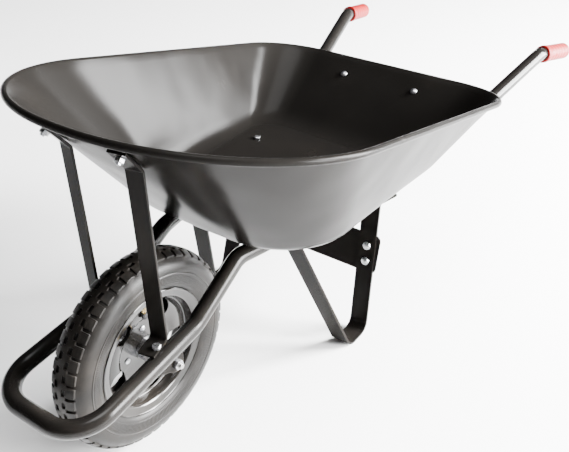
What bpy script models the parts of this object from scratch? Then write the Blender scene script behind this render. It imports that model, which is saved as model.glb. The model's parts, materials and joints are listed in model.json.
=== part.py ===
"""A single-wheel builder's wheelbarrow, in metres, +Z up. The wheel is at -Y and the handles at +Y.

The origin is on the ground under the middle of the whole object. Each piece is an object of its own.
"""

import math

import bmesh
import bpy
from mathutils import Matrix, Vector

# ---- Driving sizes ------------------------------------------------------------------------------
GAP = 0.0003  # clearance between pieces that touch

# Wheel
TYRE_RADIUS = 0.190
TYRE_HALF_WIDTH = 0.037
TREAD_HALF_WIDTH = 0.026
TYRE_WALL = 0.005
FLANGE_RADIUS = 0.1235
BEAD_SEAT = 0.1085
RIM_HALF_WIDTH = 0.029
RIM_SHEET = 0.0018
RIM_OPENINGS = 5
OPENING_CIRCLE = 0.077
OPENING_RADIUS = 0.0185
RIVET_CIRCLE = 0.044
HUB_RADIUS = 0.0215
HUB_HALF_LENGTH = 0.047
HUB_FLANGE = 0.054
HUB_FLANGE_HALF = 0.0015
BEARING_WIDTH = 0.012
BEARING_RADIUS = 0.0175
AXLE_RADIUS = 0.0075
AXLE_THREAD = 0.005
AXLE_STICKOUT = 0.014  # from the bracket's outer face to the axle's end
VALVE_X = 0.0145
VALVE_RADIUS = 0.004

# Frame tube. Its places are measured from the axle's middle, on the left; the right mirrors them.
TUBE_RADIUS = 0.016
TUBE_WALL = 0.0016
NOSE_Y = -0.2355
NOSE_Z = 0.225
NOSE_HALF_WIDTH = 0.0995
NOSE_BEND = 0.066
KNEE = (0.093, 0.040, 0.2555)  # where the tube turns up behind the axle
NECK = (0.090, 0.168, 0.324)  # front end of the run under the tray floor
BED_BACK = (0.186, 0.678, 0.297)  # back end of that run
HAND_BEND = (0.277, 1.131, 0.432)
HAND_END = (0.298, 1.261, 0.406)
BEND_RADIUS = 0.060
HAND_RADIUS = 0.045
GRIP_LENGTH = 0.117
GRIP_WALL = 0.0035
GRIP_SIDES = 16

# Tray
SHEET = 0.0012
RIM_PLANE_Z = 0.5526  # height of the rim over RIM_PLANE_Y
RIM_PLANE_Y = 0.350
RIM_SLOPE = -0.2469
RIM_FRONT_Y = -0.079
RIM_BOW = 0.010
RIM_BACK_Y = 0.873
RIM_FRONT_HALF = 0.329
RIM_BACK_HALF = 0.3175
RIM_FRONT_CORNER = 0.312
RIM_BACK_CORNER = 0.127
BEAD_RADIUS = 0.0065
WIRE_RADIUS = 0.0042
FLOOR_FRONT_Y = 0.182
FLOOR_BACK_Y = 0.668
FLOOR_HALF = 0.226
FLOOR_FRONT_CORNER = 0.140
FLOOR_BACK_CORNER = 0.060
FLOOR_FILLET = 0.036

# Flat bar pieces
BAR = 0.005
STAY_WIDTH = 0.032
STAY_X = 0.0735
STAY_Y = -0.0255
STAY_TWIST = math.radians(11)
STAY_TAB = 0.057
STAY_TAB_BOLT = 0.042
STAY_FOOT = 0.042
STAY_FOOT_BOLT = 0.023
STAY_BOLT_X = 0.0875
STAY_CLEAR = 0.0018  # for the wall's curve across the width of a stay
LEG_WIDTH = 0.040
LEG_X = 0.185
LEG_FRONT_OUT = 0.006  # from the tube's middle to the middle of a leg's front tab
LEG_BACK_OUT = 0.010
LEG_FRONT_TOP_Y = 0.292
LEG_FRONT_FOOT_Y = 0.384
LEG_BACK_FOOT_Y = 0.450
LEG_BACK_TOP_Y = 0.520
LEG_TAB = 0.056
LEG_TAB_BOLT = 0.038
LEG_TOPS = ((LEG_FRONT_TOP_Y, LEG_FRONT_OUT), (LEG_BACK_TOP_Y, LEG_BACK_OUT))
FOOT_RADIUS = 0.024
TAB_RADIUS = 0.009
PLATE_HEIGHT = 0.088
PLATE_THICK = 0.003
PLATE_Z = 0.172
PLATE_HALF_LENGTH = 0.200
PLATE_CORNER = 0.012
RIVET_SPREAD = 0.0175
BRACE_WIDTH = 0.032
BRACE_FOOT_Y = 0.802
BRACE_FOOT = 0.024
BRACE_KNEE_X = 0.132
BRACE_BOLT_X = 0.095
BRACE_BOLT_Y = 0.824
BRACKET_THICK = 0.004
BRACKET_OUTER_X = 0.0785
BRACKET_FLANGE = 0.022
BRACKET_FRONT_Y = -0.068
BRACKET_BACK_Y = 0.019
BRACKET_FRONT_DROP = 0.014

# Fasteners
SMALL_BOLT = 0.004  # shank radius
FLAT_SHARE = 1.7  # half the distance over a head's flats, as a share of the shank radius
PROUD = 0.003  # how far a bolt stands out of its nut

X = Vector((1, 0, 0))
Z = Vector((0, 0, 1))
AXLE_Z = TYRE_RADIUS
SIDES = (("left", 1), ("right", -1))
HAND_AXIS = (Vector(HAND_END) - Vector(HAND_BEND)).normalized()
GRIP_RADIUS = TUBE_RADIUS + GAP + GRIP_WALL
GRIP_END = GRIP_WALL * HAND_AXIS.y + (GRIP_RADIUS - 0.010) * math.sqrt(1 - HAND_AXIS.y ** 2)
AXLE_Y = -(NOSE_Y - TUBE_RADIUS + HAND_END[1] + GRIP_END) / 2


# ---- Materials and objects ----------------------------------------------------------------------
def clear_scene():
    for obj in list(bpy.data.objects):
        bpy.data.objects.remove(obj, do_unlink=True)


def make_material(name, colour, roughness, metallic):
    material = bpy.data.materials.new(name)
    material.use_nodes = True
    shader = material.node_tree.nodes["Principled BSDF"]
    shader.inputs["Base Color"].default_value = (*colour, 1)
    shader.inputs["Roughness"].default_value = roughness
    shader.inputs["Metallic"].default_value = metallic
    return material


def make_object(name, bm, material=None, origin=(0, 0, 0)):
    """The bmesh, whose places are the world's, as an object with its origin at the given point."""
    bmesh.ops.translate(bm, vec=-Vector(origin), verts=bm.verts)
    mesh = bpy.data.meshes.new(name)
    bm.to_mesh(mesh)
    bm.free()
    obj = bpy.data.objects.new(name, mesh)
    obj.location = origin
    bpy.context.scene.collection.objects.link(obj)
    if material:
        mesh.shade_smooth()
        mesh.set_sharp_from_angle(angle=math.radians(35))
        own = material.copy()
        own.name = f"{name}_{material.name}"
        mesh.materials.append(own)
    return obj


def solidify(obj, thickness):
    """A wall behind the faces, on the side that their normals point away from."""
    wall = obj.modifiers.new("wall", "SOLIDIFY")
    wall.thickness = thickness
    wall.offset = -1
    wall.use_even_offset = True


def cut(obj, cutter):
    boolean = obj.modifiers.new(f"hole for {cutter.name}", "BOOLEAN")
    boolean.operation = "DIFFERENCE"
    boolean.solver = "EXACT"
    boolean.object = cutter


def placed(point):
    """A place measured from the ground under the axle's middle, as a place in the world."""
    return Vector((point[0], point[1] + AXLE_Y, point[2]))


def on_side(point, side):
    return Vector((side * point[0], point[1], point[2]))


# ---- Shapes -------------------------------------------------------------------------------------
def turn_towards(axis):
    """A rotation that turns +Z to the axis."""
    return Vector(axis).to_track_quat("Z", "Y").to_matrix().to_4x4()


def make_drill(name, start, axis, radius, length, sides=8):
    """A hidden cutter that clears a round shank of this radius, from start along the axis."""
    axis = Vector(axis).normalized()
    reach = (radius + GAP) / math.cos(math.pi / sides)
    bm = bmesh.new()
    bmesh.ops.create_cone(
        bm, cap_ends=True, segments=sides, radius1=reach, radius2=reach, depth=length,
        matrix=Matrix.Translation(Vector(start) + axis * length / 2) @ turn_towards(axis),
    )
    drill = make_object(name, bm)
    drill.hide_render = True
    drill.display_type = "WIRE"
    return drill


def turned(profile, steps, centre, axis=X, closed=True):
    """A profile of (along the axis, radius) pairs, spun about the axis through the centre."""
    axis = Vector(axis).normalized()
    outward = axis.orthogonal().normalized()
    bm = bmesh.new()
    corners = [bm.verts.new(Vector(centre) + axis * along + outward * radius) for along, radius in profile]
    last = len(corners) if closed else len(corners) - 1
    pairs = [(k, (k + 1) % len(corners)) for k in range(last)]
    # An edge that lies on the axis would turn into a sliver.
    edges = [bm.edges.new((corners[a], corners[b])) for a, b in pairs if profile[a][1] or profile[b][1]]
    bmesh.ops.spin(
        bm, geom=corners + edges, cent=centre, axis=axis, dvec=(0, 0, 0),
        angle=2 * math.pi, steps=steps, use_merge=True, use_duplicate=False,
    )
    bmesh.ops.remove_doubles(bm, verts=bm.verts, dist=1e-6)
    bmesh.ops.dissolve_degenerate(bm, dist=1e-7, edges=bm.edges)
    face_outwards(bm)
    return bm


def face_outwards(bm):
    bmesh.ops.recalc_face_normals(bm, faces=bm.faces)
    if bm.calc_volume(signed=True) < 0:
        bmesh.ops.reverse_faces(bm, faces=bm.faces)


def rounded_route(corners, radii, step=math.radians(15)):
    """Points along the straight runs between corners, with an arc of its own radius at each inner one."""
    corners = [Vector(c) for c in corners]
    route = [corners[0]]
    for before, corner, after, radius in zip(corners, corners[1:], corners[2:], radii):
        back, ahead = (before - corner).normalized(), (after - corner).normalized()
        opening = back.angle(ahead)
        centre = corner + (back + ahead).normalized() * radius / math.sin(opening / 2)
        start = corner + back * radius / math.tan(opening / 2) - centre
        pivot = start.cross(corner - centre).normalized()
        count = max(2, round((math.pi - opening) / step))
        turns = [(math.pi - opening) * i / count for i in range(count + 1)]
        route += [centre + Matrix.Rotation(angle, 3, pivot) @ start for angle in turns]
    return route + [corners[-1]]


def section(point, along, across, radius, sides):
    up = along.cross(across)
    turns = [2 * math.pi * k / sides for k in range(sides)]
    return [point + (across * math.cos(t) + up * math.sin(t)) * radius for t in turns]


def tube_along(route, radius, sides, closed=False):
    """A skin of round sections along the route, each extruded from the last."""
    bm = bmesh.new()
    across, edges, first = None, None, None
    for i, point in enumerate(route):
        ahead = route[(i + 1) % len(route)] if closed or i + 1 < len(route) else point
        behind = route[i - 1] if closed or i else point
        along = (ahead - behind).normalized()
        across = across or along.cross(Z)
        across = (across - along * across.dot(along)).normalized()
        ring = section(point, along, across, radius, sides)
        if edges is None:
            verts = [bm.verts.new(place) for place in ring]
            edges = [bm.edges.new(pair) for pair in zip(verts, verts[1:] + verts[:1])]
            first = list(edges)
            continue
        made = bmesh.ops.extrude_edge_only(bm, edges=edges)["geom"]
        verts = [g for g in made if isinstance(g, bmesh.types.BMVert)]
        for vert, place in zip(verts, ring):
            vert.co = place
        edges = [g for g in made if isinstance(g, bmesh.types.BMEdge) and set(g.verts) <= set(verts)]
    if closed:
        bmesh.ops.bridge_loops(bm, edges=first + edges)
    bmesh.ops.recalc_face_normals(bm, faces=bm.faces)
    return bm


def flat_bar(route, across, width, thick):
    """A flat bar bent along a route. across is the direction of its width at each point."""
    bm = bmesh.new()
    rings = []
    for i, (point, wide) in enumerate(zip(route, across)):
        before = (point - route[max(i - 1, 0)]).normalized()
        after = (route[min(i + 1, len(route) - 1)] - point).normalized()
        along = (before + after).normalized()
        normal = wide.cross(along).normalized() * thick / 2
        normal /= max(along.dot(before), along.dot(after))
        rings.append([bm.verts.new(point + wide * width * s + normal * t) for s, t in BAR_CORNERS])
    for a, b in zip(rings, rings[1:]):
        for k in range(4):
            bm.faces.new((a[k], a[k - 1], b[k - 1], b[k]))
    bm.faces.new(rings[0])
    bm.faces.new(rings[-1][::-1])
    face_outwards(bm)
    return bm


BAR_CORNERS = ((-0.5, -1), (0.5, -1), (0.5, 1), (-0.5, 1))


# ---- Fasteners ----------------------------------------------------------------------------------
def make_bolt(name, seat, axis, radius, length, dome, zinc):
    """A bolt whose head stands on the seat and whose shank runs from there along the axis."""
    height = radius * 1.3
    if dome:
        head = [(0, 2.1), (0.4, 2.0), (0.8, 1.3), (1.0, 0.4)]
    else:
        wide = FLAT_SHARE * 2 / math.sqrt(3)
        head = [(0, wide), (0.85, wide), (1.0, wide * 0.85)]
    profile = [(-length, 0), (-length, radius), (GAP, radius)]
    profile += [(GAP + height * along, radius * wide) for along, wide in head] + [(GAP + height, 0)]
    return make_object(name, turned(profile, 12 if dome else 6, seat, -axis), zinc)


def make_nut(name, seat, axis, radius, zinc):
    """A nut whose face lies on the seat and which stands out along the axis."""
    outer = radius * FLAT_SHARE * 2 / math.sqrt(3)
    bore = (radius + GAP) * 2 / math.sqrt(3)
    height = radius * 1.6
    profile = [(GAP, bore), (GAP, outer), (GAP + height, outer), (GAP + height, bore)]
    return make_object(name, turned(profile, 6, seat, axis), zinc)


def make_rivet(name, middle, axis, reach, radius, head, zinc):
    """A rivet with a dome at each end, reach away from the middle."""
    height = head * 0.5
    half = [(reach, radius), (reach, head), (reach + height * 0.5, head * 0.85)]
    half += [(reach + height * 0.9, head * 0.4), (reach + height, 0)]
    profile = [(-along, wide) for along, wide in half[::-1]] + half
    return make_object(name, turned(profile, 10, middle, axis), zinc)


def fasten(name, seat, axis, stack, radius, zinc, pieces, dome=False):
    """A bolt and its nut through a stack of this thickness, with a hole in each of the pieces."""
    axis = Vector(axis).normalized()
    length = stack + 2 * GAP + radius * 1.6 + PROUD
    make_bolt(f"{name}_bolt", seat, axis, radius, length, dome, zinc)
    make_nut(f"{name}_nut", seat + axis * stack, axis, radius, zinc)
    drill = make_drill(f"{name}_hole", seat - axis * 0.004, axis, radius, stack + 0.008)
    for piece in pieces:
        cut(piece, drill)


# ---- The frame tube -----------------------------------------------------------------------------
def nose_slope():
    return (KNEE[2] - NOSE_Z) / (KNEE[1] - NOSE_Y)


def side_corners(side):
    shoulder = (NOSE_HALF_WIDTH, NOSE_Y, NOSE_Z)
    points = [shoulder, KNEE, NECK, BED_BACK, HAND_BEND, HAND_END]
    return [placed(on_side(p, side)) for p in points]


def tube_route():
    """The whole tube, from the left hand end round the nose to the right hand end."""
    radii = [NOSE_BEND, BEND_RADIUS, BEND_RADIUS * 0.8, BEND_RADIUS * 2, HAND_RADIUS]
    return rounded_route(side_corners(1)[::-1] + side_corners(-1), radii[::-1] + radii)


def tube_at(y, side):
    """The tube's centre, its direction and the way up from it, at a place measured from the axle."""
    corners = side_corners(side)
    start, end = next((a, b) for a, b in zip(corners, corners[1:]) if b.y >= y + AXLE_Y)
    centre = start.lerp(end, (y + AXLE_Y - start.y) / (end.y - start.y))
    along = (end - start).normalized()
    return centre, along, X.cross(along).normalized()


def make_frame_tube(paint):
    obj = make_object("frame_tube", tube_along(tube_route(), TUBE_RADIUS, 12), paint)
    solidify(obj, TUBE_WALL)
    return obj


def make_grip(name, side, rubber):
    axis = on_side(HAND_AXIS, side)
    inner = (TUBE_RADIUS + GAP) / math.cos(math.pi / GRIP_SIDES)
    outer = GRIP_RADIUS
    tip = GRIP_WALL
    profile = [
        (-GRIP_LENGTH, inner), (-GRIP_LENGTH, outer), (-GRIP_LENGTH + 0.004, outer + 0.0015),
        (-GRIP_LENGTH + 0.010, outer + 0.0015), (-GRIP_LENGTH + 0.013, outer), (tip - 0.008, outer),
        (tip - 0.003, outer - 0.004), (tip, outer - 0.010), (tip, 0), (GAP, 0), (GAP, inner),
    ]
    return make_object(name, turned(profile, GRIP_SIDES, placed(on_side(HAND_END, side)), axis), rubber)


# ---- The tray -----------------------------------------------------------------------------------
def floor_z(y):
    """The height of the floor's underside at a place measured from the axle."""
    slope = (BED_BACK[2] - NECK[2]) / (BED_BACK[1] - NECK[1])
    return NECK[2] + slope * (y - NECK[1]) + TUBE_RADIUS + 2 * GAP


def rim_z(y):
    return RIM_PLANE_Z + RIM_SLOPE * (y - RIM_PLANE_Y)


def outline(front, back, half_front, half_back, front_corner, back_corner, bow, height):
    """Points round a rounded outline, from the middle of the front past the left to the start again."""
    flat = [
        Vector((0, front - bow, 0)), Vector((half_front, front, 0)),
        Vector((half_back, back, 0)), Vector((0, back, 0)),
    ]
    points, last = [], flat[0]
    for i, radius, straight, turns in ((1, front_corner, 2, 8), (2, back_corner, 3, 6)):
        before, after = (flat[i - 1] - flat[i]).normalized(), (flat[i + 1] - flat[i]).normalized()
        opening = before.angle(after)
        centre = flat[i] + (before + after).normalized() * radius / math.sin(opening / 2)
        start = flat[i] + before * radius / math.tan(opening / 2)
        points += [last.lerp(start, k / straight) for k in range(straight)]
        arc = [Matrix.Rotation((math.pi - opening) * k / turns, 3, "Z") for k in range(turns + 1)]
        points += [centre + turn @ (start - centre) for turn in arc[:-1]]
        last = centre + arc[-1] @ (start - centre)
    points += [last.lerp(flat[3], k / 2) for k in range(3)]
    half = [placed((p.x, p.y, height(p.y))) for p in points]
    return half + [Vector((-p.x, p.y, p.z)) for p in half[-2:0:-1]]


def rim_outline():
    """The middle of the rolled edge."""
    return outline(
        RIM_FRONT_Y, RIM_BACK_Y, RIM_FRONT_HALF, RIM_BACK_HALF,
        RIM_FRONT_CORNER, RIM_BACK_CORNER, RIM_BOW, rim_z,
    )


def floor_outline():
    """Where the floor and the walls would meet without a fillet, on the loaded side of the sheet."""
    return outline(
        FLOOR_FRONT_Y, FLOOR_BACK_Y, FLOOR_HALF, FLOOR_HALF,
        FLOOR_FRONT_CORNER, FLOOR_BACK_CORNER, RIM_BOW / 2, lambda y: floor_z(y) + SHEET,
    )


def tray_column(top, foot, along):
    """One column of the sheet's loaded side: floor edge, fillet, wall, then the roll round the wire."""
    wall = (top - foot).normalized()
    lean = Vector((wall.x, wall.y, 0)).normalized()
    inner = foot - lean * FLOOR_FILLET
    inner.z = floor_z(inner.y - AXLE_Y) + SHEET
    outer = foot + wall * FLOOR_FILLET
    shares = [k / 3 for k in range(4)]
    column = [inner * (1 - t) ** 2 + foot * 2 * t * (1 - t) + outer * t * t for t in shares]
    rise = (wall - along * wall.dot(along)).normalized()
    away = along.cross(rise)
    turns = [math.radians(48 * k) for k in range(7)]
    roll = [top + (rise * math.sin(t) - away * math.cos(t)) * BEAD_RADIUS for t in turns]
    return column + [outer.lerp(roll[0], 0.5)] + roll


def tray_columns():
    rim, base = rim_outline(), floor_outline()
    ahead, behind = rim[1:] + rim[:1], rim[-1:] + rim[:-1]
    # The outline runs from the front past the left, so along cross up points away from the load.
    ways = [(a - b).normalized() for a, b in zip(ahead, behind)]
    return [tray_column(top, foot, way) for top, foot, way in zip(rim, base, ways)]


def make_tray(paint):
    bm = bmesh.new()
    rings = [list(ring) for ring in zip(*tray_columns())]
    verts = [bm.verts.new(place) for place in rings[0]]
    edges = [bm.edges.new(pair) for pair in zip(verts, verts[1:] + verts[:1])]
    bmesh.ops.contextual_create(bm, geom=edges)
    for ring in rings[1:]:
        made = bmesh.ops.extrude_edge_only(bm, edges=edges)["geom"]
        verts = [g for g in made if isinstance(g, bmesh.types.BMVert)]
        for vert, place in zip(verts, ring):
            vert.co = place
        edges = [g for g in made if isinstance(g, bmesh.types.BMEdge) and set(g.verts) <= set(verts)]
    bmesh.ops.recalc_face_normals(bm, faces=bm.faces)
    floor = max(bm.faces, key=lambda face: face.calc_area())
    if floor.normal.z < 0:
        bmesh.ops.reverse_faces(bm, faces=bm.faces)
    obj = make_object("tray", bm, paint)
    solidify(obj, SHEET)
    return obj


def make_rim_wire(steel):
    return make_object("rim_wire", tube_along(rim_outline(), WIRE_RADIUS, 6, closed=True), steel)


def back_wall(y):
    """The back wall's loaded side at a place measured from the axle, its way up and its way in."""
    column = tray_columns()[len(rim_outline()) // 2]
    start, end = column[3], column[5]
    up = (end - start).normalized()
    return start + up * (y + AXLE_Y - start.y) / up.y, up, X.cross(up).normalized()


# ---- Stays and axle brackets --------------------------------------------------------------------
def stay_ways(side):
    """The directions across a stay and ahead of it."""
    across = Vector((side * math.cos(STAY_TWIST), math.sin(STAY_TWIST), 0))
    return across, Vector((side * math.sin(STAY_TWIST), -math.cos(STAY_TWIST), 0))


def front_wall(spot, ahead):
    """The front wall's loaded side straight above a spot, and the way up it in the plane of ahead."""
    columns = [(c[3], c[5]) for c in tray_columns() if c[5].x * spot.x >= 0 and c[5].y < 0]
    best = None
    for (low_a, top_a), (low_b, top_b) in zip(columns, columns[1:]):
        for k in range(41):
            low, top = low_a.lerp(low_b, k / 40), top_a.lerp(top_b, k / 40)
            point = low.lerp(top, (spot - low).dot(ahead) / (top - low).dot(ahead))
            miss = (point - spot).to_2d().length
            if best is None or miss < best[0]:
                best = (miss, point, top - low)
    return best[1], (ahead * best[2].dot(ahead) + Z * best[2].z).normalized()


def stay_tab(side):
    """The middle of the sheet of the tab's root, the way up the tab and the way out of the tray."""
    across, ahead = stay_ways(side)
    point, up = front_wall(placed((side * STAY_X, STAY_Y, 0)), ahead)
    out = (up * Z.dot(up) - Z).normalized()
    clear = out * (BAR / 2 + SHEET + STAY_CLEAR + GAP)
    return point + Z * (clear.z - clear.dot(ahead) * up.z / up.dot(ahead)), up, out


def stay_sole(side):
    """The foot's end under the upright, and the way ahead along the tube."""
    across, ahead = stay_ways(side)
    centre, along, up = tube_at(STAY_Y, side)
    height = centre.z + (TUBE_RADIUS + 2 * GAP + BAR / 2) / up.z
    return placed((side * STAY_X, STAY_Y, height)), (ahead - Z * nose_slope()).normalized()


def make_stay(name, side, paint):
    across, ahead = stay_ways(side)
    root, up, out = stay_tab(side)
    sole, way = stay_sole(side)
    corners = [sole + way * STAY_FOOT, sole, root, root + up * STAY_TAB]
    route = rounded_route(corners, [0.008, 0.010], math.radians(30))
    return make_object(name, flat_bar(route, [across] * len(route), STAY_WIDTH, BAR), paint)


def fasten_stay(name, side, zinc, stay, bracket, tube, tray):
    root, up, out = stay_tab(side)
    stack = SHEET + STAY_CLEAR + BAR + 2 * GAP
    top = root + up * STAY_TAB_BOLT + out * (BAR / 2)
    fasten(f"{name}_stay_top", top - out * stack, out, stack, SMALL_BOLT, zinc, [stay, tray])
    sole, way = stay_sole(side)
    across, ahead = stay_ways(side)
    foot = sole + way * STAY_FOOT_BOLT
    foot += across * (side * STAY_BOLT_X - foot.x) / across.x
    below = (-way.cross(across) * side).normalized()
    stack = BAR + 2 * TUBE_RADIUS + BRACKET_THICK + 6 * GAP
    seat = foot - below * BAR / 2
    fasten(f"{name}_stay_foot", seat, below, stack, SMALL_BOLT, zinc, [stay, tube, bracket])


def bracket_top(y):
    centre, along, up = tube_at(y, 1)
    return centre.z - (TUBE_RADIUS + 2 * GAP) / up.z


def make_bracket(name, side, paint):
    """A plate that hangs from a flange under the tube and carries the axle."""
    inner_x = BRACKET_OUTER_X - BRACKET_THICK
    reach = BRACKET_BACK_Y
    top = [(y, bracket_top(y)) for y in (BRACKET_FRONT_Y, BRACKET_BACK_Y)]
    strip = top[::-1] + [(y, z - BRACKET_THICK) for y, z in top]
    turns = [-math.pi * k / 6 for k in range(6)]
    lower = [strip[3], strip[2]]
    lower += [(BRACKET_FRONT_Y, strip[2][1] - BRACKET_FRONT_DROP)]
    lower += [(reach * math.cos(t), AXLE_Z + reach * math.sin(t)) for t in turns[::-1]]
    bm = bmesh.new()
    seen = {}
    for loop in (strip, lower):
        corners = []
        for y, z in loop:
            if (y, z) not in seen:
                seen[(y, z)] = bm.verts.new(placed((side * inner_x, y, z)))
            corners.append(seen[(y, z)])
        bm.faces.new(corners)
    made = bmesh.ops.extrude_face_region(bm, geom=bm.faces[:])["geom"]
    shift = X * side * BRACKET_THICK
    bmesh.ops.translate(bm, vec=shift, verts=[g for g in made if isinstance(g, bmesh.types.BMVert)])
    flange = max((g for g in made if isinstance(g, bmesh.types.BMFace)), key=lambda f: f.calc_center_median().z)
    raised = bmesh.ops.extrude_face_region(bm, geom=[flange])["geom"]
    moved = [g for g in raised if isinstance(g, bmesh.types.BMVert)]
    bmesh.ops.translate(bm, vec=X * side * BRACKET_FLANGE, verts=moved)
    bmesh.ops.delete(bm, geom=[flange], context="FACES_ONLY")
    face_outwards(bm)
    obj = make_object(name, bm, paint)
    start = placed((side * (inner_x - 0.01), 0, AXLE_Z))
    cut(obj, make_drill(f"{name}_axle_hole", start, X * side, AXLE_THREAD, 0.03, 12))
    return obj


# ---- Legs, cross plate and rear brace -----------------------------------------------------------
def under_tube(y, side, out):
    centre, along, up = tube_at(y, side)
    height = centre.z - (TUBE_RADIUS + 2 * GAP + BAR / 2) / up.z
    return Vector((centre.x + side * out, centre.y, height))


def leg_corners(side):
    x = side * LEG_X
    front, back = (under_tube(y, side, out) for y, out in LEG_TOPS)
    front_tab, back_tab = (under_tube(y + LEG_TAB, side, out) for y, out in LEG_TOPS)
    feet = [placed((x, y, BAR / 2)) for y in (LEG_FRONT_FOOT_Y, LEG_BACK_FOOT_Y)]
    return [front_tab, front, *feet, back, back_tab]


def level_across(route):
    """The direction of a bar's width at each point of its route, as near to X as its run lets it be."""
    ends = zip(route[:1] + route[:-1], route[1:] + route[-1:])
    ways = [(after - before).normalized() for before, after in ends]
    return [(X - way * way.x).normalized() for way in ways]


def make_leg(name, side, paint):
    route = rounded_route(leg_corners(side), [TAB_RADIUS, FOOT_RADIUS, FOOT_RADIUS, TAB_RADIUS], math.radians(20))
    return make_object(name, flat_bar(route, level_across(route), LEG_WIDTH, BAR), paint)


def fasten_leg(name, side, zinc, leg, tube, tray):
    for end, y in (("front", LEG_FRONT_TOP_Y), ("back", LEG_BACK_TOP_Y)):
        centre, along, up = tube_at(y + LEG_TAB_BOLT, side)
        seat = centre + up * (TUBE_RADIUS + 2 * GAP + SHEET)
        stack = SHEET + 2 * TUBE_RADIUS + BAR + 4 * GAP
        fasten(f"{name}_leg_{end}", seat, -up, stack, SMALL_BOLT, zinc, [leg, tube, tray])


def leg_arm(side):
    """The foot end of a rear arm, the way up it and the way back from it."""
    foot, top = leg_corners(side)[3:5]
    up = (top - foot).normalized()
    return foot, up, up.cross(X).normalized()


def make_cross_plate(paint):
    foot, up, back = leg_arm(1)
    centre = foot + up * (PLATE_Z - foot.z) / up.z + back * (BAR / 2 + GAP)
    rise = X.cross(back)
    half_high, half_long = PLATE_HEIGHT / 2, PLATE_HALF_LENGTH
    bm = bmesh.new()
    corners = []
    for quarter in range(4):
        sx, sz = ((1, 1), (-1, 1), (-1, -1), (1, -1))[quarter]
        middle = (sx * (half_long - PLATE_CORNER), sz * (half_high - PLATE_CORNER))
        for k in range(4):
            turn = math.pi / 2 * (quarter + k / 3)
            x, z = middle[0] + PLATE_CORNER * math.cos(turn), middle[1] + PLATE_CORNER * math.sin(turn)
            corners.append(bm.verts.new(Vector((x, centre.y, centre.z)) + rise * z))
    bm.faces.new(corners)
    made = bmesh.ops.extrude_face_region(bm, geom=bm.faces[:])["geom"]
    moved = [g for g in made if isinstance(g, bmesh.types.BMVert)]
    bmesh.ops.translate(bm, vec=back * PLATE_THICK, verts=moved)
    face_outwards(bm)
    return make_object("leg_cross_plate", bm, paint)


def rivet_plate(name, side, zinc, leg, plate):
    foot, up, back = leg_arm(side)
    for end, sign in (("upper", 1), ("lower", -1)):
        spot = foot + up * ((PLATE_Z - foot.z) / up.z + sign * RIVET_SPREAD)
        reach = (BAR + GAP + PLATE_THICK) / 2
        middle = spot + back * (reach - BAR / 2)
        make_rivet(f"{name}_plate_{end}_rivet", middle, back, reach + GAP, SMALL_BOLT, 0.0095, zinc)
        drill = make_drill(f"{name}_{end}_rivet_hole", middle - back * 0.02, back, SMALL_BOLT, 0.04, 10)
        cut(leg, drill)
        cut(plate, drill)


def brace_half(side):
    """The brace's corners from a foot's end to its middle, with the direction of its width at each."""
    centre, along, up = tube_at(BRACE_FOOT_Y, side)
    wide_foot = (along - X * along.x).normalized()
    up = X.cross(wide_foot).normalized()
    foot = centre + up * (TUBE_RADIUS / math.cos(0.02) + 4 * GAP + BAR / 2)
    point, wide_top, inward = back_wall(BRACE_BOLT_Y)
    under = point - inward * (SHEET + GAP + BAR / 2)
    corners = [
        foot + X * side * BRACE_FOOT, foot - X * side * BRACE_FOOT,
        under + X * side * BRACE_KNEE_X, under,
    ]
    return corners, [wide_foot, wide_foot, wide_top, wide_top]


def make_brace(paint):
    left, wide_left = brace_half(1)
    right, wide_right = brace_half(-1)
    corners = left[:3] + right[2::-1]
    route = rounded_route(corners, [0.010, 0.012, 0.012, 0.010], math.radians(25))
    low, high = wide_left[0], wide_left[2]
    across = []
    for point in route:
        share = (left[0].z - point.z) / (left[0].z - left[2].z)
        across.append(low.lerp(high, min(max(share, 0), 1)).normalized())
    return make_object("rear_tray_brace", flat_bar(route, across, BRACE_WIDTH, BAR), paint)


def fasten_brace(name, side, zinc, brace, tube, tray):
    point, wide, inward = back_wall(BRACE_BOLT_Y)
    seat = point + X * side * BRACE_BOLT_X
    fasten(f"{name}_back_wall", seat, -inward, SHEET + GAP + BAR, SMALL_BOLT, zinc, [brace, tray], dome=True)
    centre, along, up = tube_at(BRACE_FOOT_Y, side)
    up = X.cross(along - X * along.x).normalized()
    seat = centre + up * (TUBE_RADIUS + 5 * GAP + BAR)
    fasten(f"{name}_brace_foot", seat, -up, BAR + 2 * TUBE_RADIUS + 6 * GAP, SMALL_BOLT, zinc, [brace, tube])


# ---- The wheel ----------------------------------------------------------------------------------
def hub_point():
    return placed((0, 0, AXLE_Z))


def make_tyre(rubber):
    bead, crown = BEAD_SEAT + 0.0015, TYRE_RADIUS
    seat = RIM_HALF_WIDTH - RIM_SHEET - 0.0015
    wide, tread = TYRE_HALF_WIDTH, TREAD_HALF_WIDTH
    mid = (bead + crown) / 2
    outer = [
        (seat, bead), (seat, bead + 0.009), (RIM_HALF_WIDTH + 0.002, FLANGE_RADIUS + 0.003),
        (wide * 0.96, mid - 0.012), (wide, mid), (wide * 0.97, mid + 0.016), (tread + 0.004, crown - 0.013),
        (tread, crown - 0.005), (tread * 0.55, crown - 0.0012),
    ]
    wall = TYRE_WALL
    inner = [
        (seat - 0.0065, bead), (seat - 0.006, bead + 0.009), (RIM_HALF_WIDTH - 0.004, FLANGE_RADIUS + 0.003),
        (wide * 0.96 - wall, mid - 0.012), (wide - wall, mid), (wide * 0.97 - wall, mid + 0.016),
        (tread - 0.002, crown - 0.017), (tread * 0.6, crown - 0.013),
    ]
    half = inner + [(0, crown - 0.012)]
    skin = [(-x, r) for x, r in outer] + [(0, crown)] + outer[::-1]
    lining = half + [(-x, r) for x, r in inner[::-1]]
    return make_object("tyre", turned(skin + lining, 40, hub_point()), rubber, hub_point())


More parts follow.
